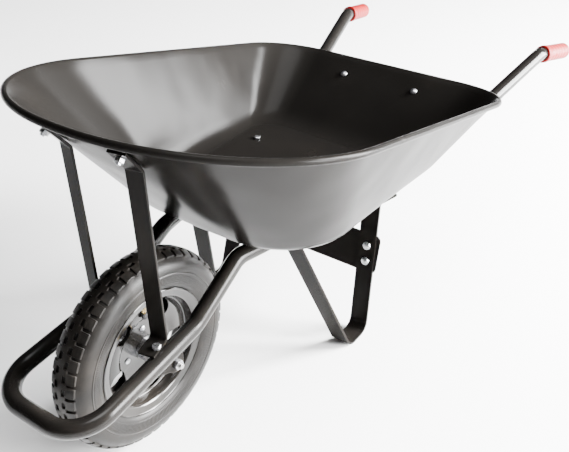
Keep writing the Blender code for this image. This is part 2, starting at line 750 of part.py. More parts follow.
def make_inner_tube(rubber):
    middle = (BEAD_SEAT + TYRE_RADIUS) / 2
    tall = (TYRE_RADIUS - BEAD_SEAT) / 2 - 0.0165
    wide = TYRE_HALF_WIDTH - TYRE_WALL - 0.003
    turns = [2 * math.pi * k / 10 for k in range(10)]
    profile = [(wide * math.sin(t), middle - tall * math.cos(t)) for t in turns]
    obj = make_object("inner_tube", turned(profile, 28, hub_point()), rubber, hub_point())
    solidify(obj, 0.0014)
    return obj


def make_rim_half(name, side, paint):
    flat = HUB_FLANGE_HALF + GAP
    profile = [
        (flat, HUB_RADIUS + GAP * 2), (flat, 0.061), (0.0075, 0.069), (0.0075, 0.090), (0.0035, 0.0965),
        (0.0035, 0.1010), (0.0075, 0.1040), (0.0225, 0.1050), (0.0260, 0.1085), (0.0268, 0.1180),
        (RIM_HALF_WIDTH, FLANGE_RADIUS - 0.0015), (RIM_HALF_WIDTH + 0.0012, FLANGE_RADIUS - 0.0005),
    ]
    bm = turned([(side * x, r) for x, r in profile], 30, hub_point(), closed=False)
    disc = min(bm.faces, key=lambda f: (f.calc_center_median() - hub_point()).length)
    if disc.normal.x * side > 0:
        bmesh.ops.reverse_faces(bm, faces=bm.faces)
    obj = make_object(name, bm, paint, hub_point())
    solidify(obj, RIM_SHEET)
    return obj


def wheel_spot(turn, radius, x=0):
    return hub_point() + Vector((x, radius * math.sin(turn), radius * math.cos(turn)))


def pierce_rims(rims):
    for k in range(RIM_OPENINGS):
        spot = wheel_spot(2 * math.pi * (k + 0.5) / RIM_OPENINGS, OPENING_CIRCLE, -0.04)
        drill = make_drill(f"rim_opening_{k + 1}", spot, X, OPENING_RADIUS, 0.08, 12)
        for rim in rims:
            cut(rim, drill)


def make_hub(steel):
    seat, ends, half = BEARING_RADIUS + GAP, HUB_HALF_LENGTH, HUB_HALF_LENGTH - BEARING_WIDTH - GAP
    flange = HUB_FLANGE_HALF
    profile = [
        (-ends, seat), (-ends, HUB_RADIUS), (-flange, HUB_RADIUS), (-flange, HUB_FLANGE),
        (flange, HUB_FLANGE), (flange, HUB_RADIUS), (ends, HUB_RADIUS), (ends, seat),
        (half, seat), (half, seat - 0.004), (-half, seat - 0.004), (-half, seat),
    ]
    return make_object("wheel_hub", turned(profile, 24, hub_point()), steel, hub_point())


def make_ring(name, start, end, inner, outer, material, steps=20):
    profile = [(start, inner), (start, outer), (end, outer), (end, inner)]
    return make_object(name, turned(profile, steps, hub_point()), material, hub_point())


def make_wheel_rivets(zinc, pieces):
    flat = HUB_FLANGE_HALF + GAP + RIM_SHEET
    for k in range(4):
        spot = wheel_spot(math.pi / 2 * k, RIVET_CIRCLE)
        make_rivet(f"wheel_rivet_{k + 1}", spot, X, flat + GAP, 0.003, 0.006, zinc)
        drill = make_drill(f"wheel_rivet_hole_{k + 1}", spot - X * 0.02, X, 0.003, 0.04, 10)
        for piece in pieces:
            cut(piece, drill)


def make_valve(brass, rubber, rim, inner_tube):
    outer_end, inner_end = BEAD_SEAT + 0.016, 0.076
    up = Z
    start = wheel_spot(0, inner_end, VALVE_X)
    profile = [
        (0, 0), (0, VALVE_RADIUS * 0.8), (0.010, VALVE_RADIUS * 0.8), (0.011, VALVE_RADIUS),
        (outer_end - inner_end, VALVE_RADIUS), (outer_end - inner_end, 0),
    ]
    stem = make_object("valve_stem", turned(profile, 10, start, up), brass)
    bore, top = VALVE_RADIUS * 0.8 + 2 * GAP, 0.0085
    cap = [(-0.003, 0), (-0.003, 0.0042), (-0.002, 0.0052), (top, 0.0052), (top, bore), (-GAP, bore), (-GAP, 0)]
    cap_obj = make_object("valve_cap", turned(cap, 10, start, up), rubber)
    drill = make_drill("valve_hole", start + Z * 0.012, Z, VALVE_RADIUS, outer_end - inner_end + 0.004, 10)
    cut(rim, drill)
    cut(inner_tube, drill)
    return stem, cap_obj


def make_wheel(paint, rubber, steel, zinc, brass):
    rims = [make_rim_half(f"{name}_rim_half", side, paint) for name, side in SIDES]
    pierce_rims(rims)
    hub = make_hub(zinc)
    make_tyre(rubber)
    inner_tube = make_inner_tube(rubber)
    make_wheel_rivets(zinc, rims + [hub])
    make_valve(brass, rubber, rims[0], inner_tube)
    for name, side in SIDES:
        near, far = HUB_HALF_LENGTH - BEARING_WIDTH, HUB_HALF_LENGTH
        make_ring(f"{name}_bearing", side * near, side * far, AXLE_RADIUS + GAP, BEARING_RADIUS, steel)


def make_axle(steel, zinc):
    plate = BRACKET_OUTER_X - BRACKET_THICK - GAP
    end = BRACKET_OUTER_X + AXLE_STICKOUT
    profile = [(-end, 0), (-end, AXLE_THREAD), (-plate, AXLE_THREAD), (-plate, AXLE_RADIUS)]
    profile += [(-along, radius) for along, radius in profile[::-1]]
    make_object("axle", turned(profile, 16, hub_point()), steel, hub_point())
    for name, side in SIDES:
        inner, outer = HUB_HALF_LENGTH + GAP, plate
        make_ring(f"{name}_spacer", side * inner, side * outer, AXLE_RADIUS + GAP, 0.0115, zinc, 16)
        seat = hub_point() + X * side * BRACKET_OUTER_X
        make_nut(f"{name}_axle_nut", seat, X * side, AXLE_THREAD, zinc)


# ---- The whole object ---------------------------------------------------------------------------
def build():
    clear_scene()
    paint = make_material("black_paint", (0.012, 0.012, 0.013), 0.25, 0)
    grip_rubber = make_material("red_grip", (0.62, 0.06, 0.045), 0.55, 0)
    tyre_rubber = make_material("tyre_rubber", (0.020, 0.018, 0.017), 0.75, 0)
    steel = make_material("bright_steel", (0.55, 0.55, 0.56), 0.35, 1)
    zinc = make_material("zinc_plate", (0.66, 0.66, 0.68), 0.3, 1)
    brass = make_material("brass", (0.60, 0.44, 0.20), 0.35, 1)

    tube = make_frame_tube(paint)
    tray = make_tray(paint)
    make_rim_wire(steel)
    plate = make_cross_plate(paint)
    brace = make_brace(paint)
    for name, side in SIDES:
        make_grip(f"{name}_grip", side, grip_rubber)
        stay = make_stay(f"{name}_front_stay", side, paint)
        bracket = make_bracket(f"{name}_axle_bracket", side, paint)
        leg = make_leg(f"{name}_leg", side, paint)
        fasten_stay(name, side, zinc, stay, bracket, tube, tray)
        fasten_leg(name, side, zinc, leg, tube, tray)
        rivet_plate(name, side, zinc, leg, plate)
        fasten_brace(name, side, zinc, brace, tube, tray)
    make_wheel(paint, tyre_rubber, steel, zinc, brass)
    make_axle(steel, zinc)


build()
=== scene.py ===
# %% [markdown]
# # A builder's wheelbarrow with one wheel
#
# The packed CAD model gives every place and size. This script adds what the CAD leaves plain: smooth bends in
# the tube, the pressed tray with its rolled edge, a tread on the tyre, the pressed wheel, ribbed grips, and
# the paint, zinc, rubber and plastic that cover them.

import json
import math

import bmesh
import bpy
from mathutils import Matrix, Vector


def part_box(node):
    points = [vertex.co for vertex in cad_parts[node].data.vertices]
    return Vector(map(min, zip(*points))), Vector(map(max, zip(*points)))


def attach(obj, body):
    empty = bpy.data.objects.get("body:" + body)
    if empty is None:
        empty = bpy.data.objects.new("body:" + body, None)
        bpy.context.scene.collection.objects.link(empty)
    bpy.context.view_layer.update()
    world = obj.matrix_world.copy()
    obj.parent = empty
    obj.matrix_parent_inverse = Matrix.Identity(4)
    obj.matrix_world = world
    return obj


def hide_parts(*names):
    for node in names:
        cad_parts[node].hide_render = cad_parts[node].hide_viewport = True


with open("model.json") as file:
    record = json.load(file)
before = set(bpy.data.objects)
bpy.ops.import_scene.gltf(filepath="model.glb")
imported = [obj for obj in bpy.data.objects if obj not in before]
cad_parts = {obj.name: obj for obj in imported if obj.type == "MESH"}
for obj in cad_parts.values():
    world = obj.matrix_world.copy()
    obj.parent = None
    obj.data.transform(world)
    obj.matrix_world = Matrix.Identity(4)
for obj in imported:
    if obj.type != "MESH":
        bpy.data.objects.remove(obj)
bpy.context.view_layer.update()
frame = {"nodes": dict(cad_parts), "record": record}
nodes = frame["nodes"]
print(len(nodes), "CAD nodes")

# %% [markdown]
# ## Sizes
#
# These are the sizes of the CAD source, in metres. A place is given as the distance from the ground under the
# axle's middle, on the left side, and the right side mirrors it. The axle's own place could be written down
# too, but it is read from the frame, so that every piece stays centred on the packed wheel.

# %% Sizes
X, Z = Vector((1, 0, 0)), Vector((0, 0, 1))
axle_low, axle_high = (Vector(corner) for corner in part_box("axle"))
HUB = (axle_low + axle_high) / 2
AXLE_Y = HUB.y
SIDES = (("left", 1), ("right", -1))
GAP = 0.0003

# The tube's centre line, from the nose to a hand, and the radius of the bend at each corner but the last
TUBE_RADIUS = 0.016
TUBE_WALL = 0.0016
SHOULDER = (0.0995, -0.2355, 0.225)
KNEE = (0.093, 0.040, 0.2555)
NECK = (0.090, 0.168, 0.324)
BED_BACK = (0.186, 0.678, 0.297)
HAND_BEND = (0.277, 1.131, 0.432)
HAND_END = (0.298, 1.261, 0.406)
TUBE_CORNERS = (SHOULDER, KNEE, NECK, BED_BACK, HAND_BEND, HAND_END)
TUBE_BENDS = (0.066, 0.060, 0.048, 0.120, 0.045)
GRIP_LENGTH = 0.117
GRIP_WALL = 0.0035

# The tray's rim lies in a sloping plane, which is this high at this place along the barrow
SHEET = 0.0012
RIM_PLANE_Y = 0.350
RIM_PLANE_Z = 0.5526
RIM_SLOPE = -0.2469
RIM = dict(
    front=-0.079, back=0.873, half_front=0.329, half_back=0.3175, front_corner=0.312, back_corner=0.127,
    bow=0.010,
)
FLOOR = dict(
    front=0.182, back=0.668, half_front=0.226, half_back=0.226, front_corner=0.140, back_corner=0.060,
    bow=0.005,
)
FLOOR_FILLET = 0.036
BEAD_RADIUS = 0.0065

TYRE_RADIUS = 0.190
FLANGE_RADIUS = 0.1235
BEAD_SEAT = 0.1085
RIM_HALF_WIDTH = 0.029
RIM_SHEET = 0.0018
HUB_RADIUS = 0.0215
OPENINGS = 5
OPENING_CIRCLE = 0.077
OPENING_RADIUS = 0.0185
print("axle at", [round(c, 4) for c in HUB])


# %% [markdown]
# ## Helpers for every piece
#
# A mesh is built with its place in its own points, so a finished object needs no move, turn or scale. Cast,
# bent and cut parts all have slightly soft edges. A bevel could be cut into each mesh, but a modifier limited
# by angle finds those edges by itself.

# %% Helpers for every piece
def placed(point, side=1):
    return Vector((side * point[0], point[1] + AXLE_Y, point[2]))


def finish_object(name, bm, sharp=38):
    """The bmesh as a smooth object, with an edge kept sharp where the faces turn by more than this."""
    mesh = bpy.data.meshes.new(name)
    bm.to_mesh(mesh)
    bm.free()
    obj = bpy.data.objects.new(name, mesh)
    bpy.context.scene.collection.objects.link(obj)
    mesh.shade_smooth()
    mesh.set_sharp_from_angle(angle=math.radians(sharp))
    return obj


def round_off(obj, width, angle=30, segments=2):
    bevel = obj.modifiers.new("soft edges", "BEVEL")
    bevel.width = width
    bevel.segments = segments
    bevel.limit_method = "ANGLE"
    bevel.angle_limit = math.radians(angle)
    bevel.harden_normals = False


print("a place 1 m up over the axle is", [round(c, 3) for c in placed((0, 0, 1))])


# %% [markdown]
# ## Shader maths
#
# A pattern on a surface is a sum or product of simpler ones. Each could be a chain of nodes made by hand, but
# it is easier to read as an expression: `Sock` wraps one output of a shader node, and the usual signs add the
# maths nodes.

# %% Shader maths
class Sock:
    """An output of a shader node that takes part in sums and products."""

    def __init__(self, surface, output):
        self.surface, self.output = surface, output

    def maths(self, operation, *others):
        return self.surface.node("ShaderNodeMath", dict(enumerate((self, *others))), operation=operation)

    def __add__(self, other):
        return self.maths("ADD", other)

    def __sub__(self, other):
        return self.maths("SUBTRACT", other)

    def __rsub__(self, other):
        return self * -1 + other

    def __mul__(self, other):
        return self.maths("MULTIPLY", other)

    def __pow__(self, other):
        return self.maths("POWER", other)

    __radd__, __rmul__ = __add__, __mul__

    def step(self, low, high):
        """0 at low, 1 at high, and a smooth change between. It falls where low is the larger."""
        inputs = {"Value": self, "From Min": low, "From Max": high}
        return self.surface.node("ShaderNodeMapRange", inputs, interpolation_type="SMOOTHSTEP")


print("sums and products of sockets are ready")


# %% [markdown]
# ## One material
#
# `Surface` is one material on the object's own coordinates, so that a pattern stays on its piece when the
# piece moves. Every other node comes from its one method `node`, which takes the settings first and then the
# values or links of the sockets.

# %% One material
class Surface:
    """One Principled material, made of procedural nodes on the object's own coordinates."""

    def __init__(self, name, colour, roughness, metallic=0.0, coat=0.0, coat_roughness=0.03):
        self.material = bpy.data.materials.new(name)
        self.material.use_nodes = True
        self.tree = self.material.node_tree
        self.shader = self.tree.nodes["Principled BSDF"]
        self.set("Base Color", (*colour, 1))
        self.set("Roughness", roughness)
        self.set("Metallic", metallic)
        self.set("Coat Weight", coat)
        self.set("Coat Roughness", coat_roughness)
        self.place = self.node("ShaderNodeTexCoord", {}, "Object")

    def node(self, kind, inputs, output=0, **settings):
        made = self.tree.nodes.new(kind)
        for key, value in settings.items():
            setattr(made, key, value)
        for key, value in inputs.items():
            if isinstance(value, Sock):
                self.tree.links.new(value.output, made.inputs[key])
            else:
                made.inputs[key].default_value = value
        return Sock(self, made.outputs[output])

    def set(self, name, value):
        if isinstance(value, Sock):
            self.tree.links.new(value.output, self.shader.inputs[name])
        else:
            self.shader.inputs[name].default_value = value

    def noise(self, scale, detail=3.0, roughness=0.5, stretch=(1, 1, 1), shift=(0, 0, 0)):
        at = self.node("ShaderNodeMapping", {"Vector": self.place, "Scale": stretch, "Location": shift})
        inputs = {"Vector": at, "Scale": scale, "Detail": detail, "Roughness": roughness}
        return self.node("ShaderNodeTexNoise", inputs)

    def spots(self, scale):
        return self.node("ShaderNodeTexVoronoi", {"Vector": self.place, "Scale": scale}, feature="F1")

    def axis(self, name):
        return self.node("ShaderNodeSeparateXYZ", {"Vector": self.place}, name)

    def mix(self, share, first, second):
        inputs = {"Factor": share, 6: self.rgba(first), 7: self.rgba(second)}
        return self.node("ShaderNodeMix", inputs, 2, data_type="RGBA")

    @staticmethod
    def rgba(colour):
        return colour if isinstance(colour, Sock) else (*colour, 1)

    def bump(self, height, distance, normal=None):
        inputs = {"Height": height, "Distance": distance, "Strength": 1.0}
        if normal:
            inputs["Normal"] = normal
        return self.node("ShaderNodeBump", inputs)


print("a surface can be", [name for name in vars(Surface) if not name.startswith("_")])


# %% [markdown]
# ## Gloss black paint
#
# The frame, the tray and the wheel are dipped or sprayed with gloss black. A flat black would do from far off,
# but real paint of this kind has a fine orange peel, slow waves where the sheet was drawn, and a film of dust
# and handling marks that dulls it in patches. The peel and the waves are bumps, because they only bend the
# reflection, and the film changes the roughness and lifts the colour a little towards brown. The bars are
# duller than the tube, which hands and sacks rub to a shine.

# %% Gloss black paint
def make_paint(name, peel, wave, film, roughness, mirror, coat=0.0, shift=(0, 0, 0)):
    """peel and wave are heights in metres, film the share of dust, mirror the strength of the reflection."""
    colour, dust = (0.0060, 0.0055, 0.0050), (0.040, 0.032, 0.025)
    paint = Surface(name, colour, roughness, coat=coat, coat_roughness=0.05)
    paint.set("Specular IOR Level", mirror)
    cloud = paint.noise(3.5, 5.0, 0.6, shift=shift)
    smear = paint.noise(9.0, 6.0, 0.65, stretch=(1.0, 1.0, 0.22), shift=shift)
    specks = paint.spots(420).step(0.10, 0.02) * paint.noise(30, 2.0, shift=shift).step(0.5, 0.7)
    patch = cloud.step(0.42, 0.72) * smear.step(0.35, 0.75)
    paint.set("Base Color", paint.mix(patch * film + specks * (film * 0.6), colour, dust))
    paint.set("Roughness", patch * 0.09 + smear * 0.08 + roughness)
    slow = paint.bump(paint.noise(7.0, 1.0, shift=shift), wave)
    paint.set("Normal", paint.bump(paint.noise(650, 2.0, 0.4), peel, normal=slow))
    return paint.material


PAINTS = {
    "frame_paint": make_paint("frame_black", 0.00006, 0.0003, film=0.20, roughness=0.14, mirror=0.03),
    "tray_paint": make_paint(
        "tray_black", 0.00005, 0.0036, film=0.07, roughness=0.17, mirror=0.035, shift=(4, 1, 2),
    ),
    "rim_paint": make_paint(
        "wheel_black", 0.00005, 0.0004, film=0.30, roughness=0.08, mirror=0.30, coat=0.12, shift=(7, 3, 1),
    ),
}
TUBE_PAINT = make_paint("tube_black", 0.00006, 0.0003, film=0.25, roughness=0.14, mirror=0.16)
print(len(PAINTS) + 1, "paints")


# %% [markdown]
# ## Tyre rubber
#
# Tyre rubber is dark warm grey and a little chalky where it was handled. The fine ribs that circle the
# sidewall could be cut into the mesh, but they are under a millimetre high and very many, so they are a bump
# that follows the angle round the axle.

# %% Tyre rubber
RIB_WAVES = 260.0


def make_rubber():
    rubber = Surface("tyre_black", (0.012, 0.011, 0.009), 0.46)
    rubber.set("Specular IOR Level", 0.15)
    y, z = rubber.axis("Y") - HUB.y, rubber.axis("Z") - HUB.z
    radius = (y * y + z * z) ** 0.5
    rib_band = radius.step(0.132, 0.135) * radius.step(0.150, 0.147)
    ribs = (z.maths("ARCTAN2", y) * RIB_WAVES).maths("SINE").step(-0.4, 0.4) * rib_band
    tread = radius.step(TYRE_RADIUS - 0.0035, TYRE_RADIUS - 0.001)
    chalk = rubber.noise(18, 6.0, 0.62).step(0.45, 0.75)
    worn = rubber.mix(chalk * 0.5 + tread * 0.3, (0.0050, 0.0045, 0.0040), (0.020, 0.017, 0.014))
    rubber.set("Base Color", worn)
    rubber.set("Roughness", chalk * 0.20 + 0.36)
    lines = rubber.bump(ribs, 0.0007)
    rubber.set("Normal", rubber.bump(rubber.noise(900, 3.0), 0.00012, normal=lines))
    return rubber.material


RUBBER = make_rubber()
print(len(RUBBER.node_tree.nodes), "nodes in", RUBBER.name)


# %% [markdown]
# ## Red grip plastic
#
# The grips are soft red plastic. It is dyed through, so it keeps its colour, but it fades unevenly and takes
# up grime. Two noises at different sizes give that, and a fine grain gives the moulded surface.

# %% Red grip plastic
def make_red():
    red = Surface("grip_red", (0.15, 0.001, 0.001), 0.42)
    red.set("Specular IOR Level", 0.2)
    fade = red.noise(40, 4.0, 0.6)
    grime = red.noise(95, 5.0, 0.7).step(0.56, 0.80)
    tone = red.mix(fade, (0.12, 0.0, 0.0), (0.17, 0.001, 0.001))
    red.set("Base Color", red.mix(grime * 0.25, tone, (0.08, 0.01, 0.008)))
    red.set("Roughness", fade * 0.18 + 0.34)
    red.set("Normal", red.bump(red.noise(1200, 2.0), 0.00008))
    return red.material


RED = make_red()
print(len(RED.node_tree.nodes), "nodes in", RED.name)


# %% [markdown]
# ## Zinc, brass, steel and the valve cap
#
# Zinc plate is bright with a faint crystalline cloud, and the wheel's bearings and spacers carry the yellow
# passivation that such parts usually have. Brass is polished in the same cloudy way, so one function makes all
# three from two tones. Bare steel shows fine turning marks along the axle, and the valve's cap is matt plastic.

# %% Zinc, brass, steel and the valve cap
def make_plate(name, light, dark, roughness=0.24):
    plate = Surface(name, light, roughness, metallic=1.0)
    cloud = plate.noise(160, 4.0, 0.6)
    grains = plate.spots(900)
    plate.set("Base Color", plate.mix(cloud.step(0.35, 0.70), dark, light))
    plate.set("Roughness", cloud * 0.20 + grains * 0.10 + (roughness - 0.10))
    plate.set("Normal", plate.bump(plate.noise(2400, 2.0), 0.00004))
    return plate.material


def make_steel():
    steel = Surface("turned_steel", (0.50, 0.49, 0.48), 0.30, metallic=1.0)
    rings = (steel.axis("X") * 9000.0).maths("SINE")
    stain = steel.noise(120, 5.0, 0.65).step(0.5, 0.75)
    steel.set("Base Color", steel.mix(stain * 0.7, (0.55, 0.54, 0.52), (0.24, 0.19, 0.15)))
    steel.set("Roughness", stain * 0.3 + 0.24)
    steel.set("Normal", steel.bump(rings, 0.00002))
    return steel.material


def make_cap():
    cap = Surface("cap_plastic", (0.015, 0.015, 0.016), 0.38)
    cap.set("Roughness", cap.noise(300, 3.0) * 0.25 + 0.30)
    cap.set("Normal", cap.bump(cap.noise(1500, 2.0), 0.00006))
    return cap.material


FINISHES = dict(
    PAINTS, tyre_rubber=RUBBER, red_grip=RED, bright_steel=make_steel(), valve_cap_plastic=make_cap(),
    zinc_plate=make_plate("bright_zinc", (0.74, 0.74, 0.75), (0.50, 0.51, 0.54)),
    valve_brass=make_plate("plain_brass", (0.72, 0.55, 0.27), (0.50, 0.36, 0.16)),
)
YELLOW_ZINC = make_plate("yellow_zinc", (0.80, 0.62, 0.28), (0.62, 0.42, 0.30), 0.28)
print(len(FINISHES) + 1, "finishes")

# %% [markdown]
# ## The CAD pieces that stay
#
# Bars, plates, bolts, nuts, rivets and bearings already have their true shape, and drawing them again would
# add nothing. They only lack the small rounding that any cut or forged edge has, so each gets a weld, which
# joins its loose triangles, then a bevel, and the finish of its slot.

# %% The CAD pieces that stay
REPLACED = {"frame_tube", "tray", "tyre", "left_rim_half", "right_rim_half", "left_grip", "right_grip"}
YELLOW = {"left_bearing", "right_bearing", "left_spacer", "right_spacer"}
BARS = ("leg", "stay", "brace", "plate", "bracket")
BAR_ROUNDING = 0.0009
SMALL_ROUNDING = 0.0004
slots = {row["node"]: row["material_slot"] for row in frame["record"]["subparts"]}
for name, obj in nodes.items():
    if name in REPLACED:
        continue
    obj.data.materials.clear()
    obj.data.materials.append(YELLOW_ZINC if name in YELLOW else FINISHES[slots[name]])
    weld = obj.modifiers.new("weld", "WELD")
    weld.merge_threshold = 1e-5
    round_off(obj, BAR_ROUNDING if name.endswith(BARS) else SMALL_ROUNDING, 35)
print(len(nodes) - len(REPLACED), "CAD pieces kept")


# %% [markdown]
# ## Carrying a ring along a path
#
# A bent tube and a drawn sheet have one thing in common: the same ring of points goes from place to place. A
# curve with a bevel could draw the tube too, but the tray's rings change their shape on the way, so both are
# made by extruding the edges of one ring to the next.

# %% Carrying a ring along a path
def first_ring(bm, ring):
    verts = [bm.verts.new(place) for place in ring]
    return [bm.edges.new(pair) for pair in zip(verts, verts[1:] + verts[:1])]


def extrude_to(bm, edges, ring):
    """The edges of one ring extruded so that their new ends lie at the places of the next ring."""
    made = bmesh.ops.extrude_edge_only(bm, edges=edges)["geom"]
    verts = [g for g in made if isinstance(g, bmesh.types.BMVert)]
    for vert, place in zip(verts, ring):
        vert.co = place
    return [g for g in made if isinstance(g, bmesh.types.BMEdge) and set(g.verts) <= set(verts)]


def thicken(obj, thickness):
    """A wall inside the skin, so the outside keeps its size."""
    wall = obj.modifiers.new("sheet", "SOLIDIFY")
    wall.thickness = thickness
    wall.offset = -1
    wall.use_even_offset = True


def join_frame(obj, body, slot, *stands_for):
    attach(obj, body)
    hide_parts(*stands_for)
    print(obj.name, len(obj.data.polygons), "faces for", ", ".join(stands_for))


# %% [markdown]
# ## The tube's path
#
# A bending machine leaves straight runs with an arc of a set radius between them. The path could be a spline,
# but a spline has no true straight runs, so the arcs are worked out from the corners and their radii.

# %% The tube's path
def rounded_route(corners, radii, step=math.radians(4)):
    """Points along the straight runs between corners, with an arc of its own radius at each inner one."""
    corners = [Vector(c) for c in corners]
    route = [corners[0]]
    for before, corner, after, radius in zip(corners, corners[1:], corners[2:], radii):
        back, ahead = (before - corner).normalized(), (after - corner).normalized()
        opening = back.angle(ahead)
        centre = corner + (back + ahead).normalized() * radius / math.sin(opening / 2)
        start = corner + back * radius / math.tan(opening / 2) - centre
        pivot = start.cross(corner - centre).normalized()
        count = max(2, round((math.pi - opening) / step))
        turns = [(math.pi - opening) * i / count for i in range(count + 1)]
        route += [centre + Matrix.Rotation(angle, 3, pivot) @ start for angle in turns]
    return route + [corners[-1]]


left_run = [placed(p) for p in TUBE_CORNERS]
right_run = [placed(p, -1) for p in TUBE_CORNERS]
tube_route = rounded_route(left_run[::-1] + right_run, TUBE_BENDS[::-1] + TUBE_BENDS)
tube_length = sum((after - before).length for before, after in zip(tube_route, tube_route[1:]))
print("tube", round(tube_length, 3), "m long, in", len(tube_route), "places")


# %% [markdown]
# ## The frame tube
#
# One length of steel tube, 32 mm across, is cold bent into the handles, the two runs under the tray and the
# round nose in front of the wheel. It is drawn here along the same centre line as the CAD tube, with close
# steps in the bends, so that the highlight runs along it unbroken.

# %% The frame tube
def tube_along(route, radius, sides):
    """A skin of round sections along the route, each extruded from the last."""
    bm = bmesh.new()
    across, edges = None, None
    for i, point in enumerate(route):
        along = (route[min(i + 1, len(route) - 1)] - route[max(i - 1, 0)]).normalized()
        across = across or along.cross(Z)
        across = (across - along * across.dot(along)).normalized()
        up = along.cross(across)
        turns = [2 * math.pi * k / sides for k in range(sides)]
        ring = [point + (across * math.cos(t) + up * math.sin(t)) * radius for t in turns]
        edges = extrude_to(bm, edges, ring) if edges else first_ring(bm, ring)
    bmesh.ops.recalc_face_normals(bm, faces=bm.faces)
    return bm


tube = finish_object("bent_frame_tube", tube_along(tube_route, TUBE_RADIUS, 40))
thicken(tube, TUBE_WALL)
tube.data.materials.append(TUBE_PAINT)
join_frame(tube, "frame", "frame_paint", "frame_tube")


# %% [markdown]
# ## The tray's two outlines
#
# The tray is one steel sheet, deep drawn over a former: a flat floor, walls that lean out, large round corners
# at the front, and an edge rolled over a wire. Two outlines fix it, the rim's and the floor's. They have the
# same number of points, so that each point of the rim has its own point of the floor below it.

# %% The tray's two outlines
def rim_height(y):
    return RIM_PLANE_Z + RIM_SLOPE * (y - RIM_PLANE_Y)


def floor_height(y):
    slope = (BED_BACK[2] - NECK[2]) / (BED_BACK[1] - NECK[1])
    return NECK[2] + slope * (y - NECK[1]) + TUBE_RADIUS + 2 * GAP + SHEET


def outline(height, front, back, half_front, half_back, front_corner, back_corner, bow):
    """Points round a rounded outline, from the middle of the front past the left to the start again."""
    flat = [
        Vector((0, front - bow, 0)), Vector((half_front, front, 0)),
        Vector((half_back, back, 0)), Vector((0, back, 0)),
    ]
    points, last = [], flat[0]
    # Each corner has its radius, the steps along the straight before it and the steps round it
    for i, radius, straight, turns in ((1, front_corner, 4, 28), (2, back_corner, 16, 20)):
        before, after = (flat[i - 1] - flat[i]).normalized(), (flat[i + 1] - flat[i]).normalized()
        opening = before.angle(after)
        centre = flat[i] + (before + after).normalized() * radius / math.sin(opening / 2)
        start = flat[i] + before * radius / math.tan(opening / 2)
        points += [last.lerp(start, k / straight) for k in range(straight)]
        arc = [Matrix.Rotation((math.pi - opening) * k / turns, 3, "Z") for k in range(turns + 1)]
        points += [centre + turn @ (start - centre) for turn in arc[:-1]]
        last = centre + arc[-1] @ (start - centre)
    points += [last.lerp(flat[3], k / 8) for k in range(9)]
    half = [placed((p.x, p.y, height(p.y))) for p in points]
    return half + [Vector((-p.x, p.y, p.z)) for p in half[-2:0:-1]]


rim_points = outline(rim_height, **RIM)
floor_points = outline(floor_height, **FLOOR)
print(len(rim_points), "points on the rim and", len(floor_points), "on the floor")


# %% [markdown]
# ## The tray
#
# Below each point of the rim hangs a column of points: round the wire, down the wall and through the fillet to
# the floor. Taken together at one level they are a ring of the sheet, and each ring is extruded from the one
# below. A lattice or sculpted sheet could give the same form, but this one keeps to its outlines exactly.

# %% The tray
FILLET_STEPS = 9
WALL_STEPS = 12
ROLL_TURNS = [math.radians(24 * k) for k in range(13)]


def tray_column(top, foot, along):
    """One column of the sheet's loaded side: floor, fillet, wall, then the roll round the wire."""
    wall = (top - foot).normalized()
    lean = Vector((wall.x, wall.y, 0)).normalized()
    inner = foot - lean * FLOOR_FILLET
    inner.z = floor_height(inner.y - AXLE_Y)
    outer = foot + wall * FLOOR_FILLET
    shares = [k / FILLET_STEPS for k in range(FILLET_STEPS + 1)]
    fillet = [inner * (1 - t) ** 2 + foot * 2 * t * (1 - t) + outer * t * t for t in shares]
    rise = (wall - along * wall.dot(along)).normalized()
    away = along.cross(rise)
    roll = [top + (rise * math.sin(t) - away * math.cos(t)) * BEAD_RADIUS for t in ROLL_TURNS]
    rises = [outer.lerp(roll[0], k / WALL_STEPS) for k in range(1, WALL_STEPS)]
    return fillet + rises + roll


ways = [
    (after - before).normalized()
    for before, after in zip(rim_points[-1:] + rim_points[:-1], rim_points[1:] + rim_points[:1])
]
rings = [list(ring) for ring in zip(*map(tray_column, rim_points, floor_points, ways))]
bm = bmesh.new()
edges = first_ring(bm, rings[0])
bmesh.ops.contextual_create(bm, geom=edges)
for ring in rings[1:]:
    edges = extrude_to(bm, edges, ring)
floor_face = max(bm.faces, key=lambda face: face.calc_area())
bmesh.ops.recalc_face_normals(bm, faces=bm.faces)
if floor_face.normal.z < 0:
    bmesh.ops.reverse_faces(bm, faces=bm.faces)
tray = finish_object("pressed_tray", bm, 60)
thicken(tray, SHEET)
tray.data.materials.append(PAINTS["tray_paint"])
join_frame(tray, "frame", "tray_paint", "tray")


# %% [markdown]
# ## Turned shapes
#
# Whatever is round about a line, as a tyre, a pressed disc and a grip are, is drawn once as half a section and
# spun. A cylinder with its loops scaled would come to the same, but a section reads like the workshop drawing.

# %% Turned shapes
def turned(profile, steps, centre, axis=X, closed=True):
    """A profile of (along the axis, radius) pairs, spun about the axis through the centre."""
    axis = Vector(axis).normalized()
    outward = Vector((0, 0, 1)) if abs(axis.z) < 0.5 else Vector((0, 1, 0))
    outward = (outward - axis * outward.dot(axis)).normalized()
    bm = bmesh.new()
    corners = [bm.verts.new(Vector(centre) + axis * along + outward * radius) for along, radius in profile]
    pairs = [(k, (k + 1) % len(corners)) for k in range(len(corners) if closed else len(corners) - 1)]
    edges = [bm.edges.new((corners[a], corners[b])) for a, b in pairs if profile[a][1] or profile[b][1]]
    bmesh.ops.spin(
        bm, geom=corners + edges, cent=centre, axis=axis, dvec=(0, 0, 0),
        angle=2 * math.pi, steps=steps, use_merge=True, use_duplicate=False,
    )
    bmesh.ops.remove_doubles(bm, verts=bm.verts, dist=1e-6)
    bmesh.ops.recalc_face_normals(bm, faces=bm.faces)
    return bm


def face_outwards(bm):
    if bm.calc_volume(signed=True) < 0:
        bmesh.ops.reverse_faces(bm, faces=bm.faces)
    return bm


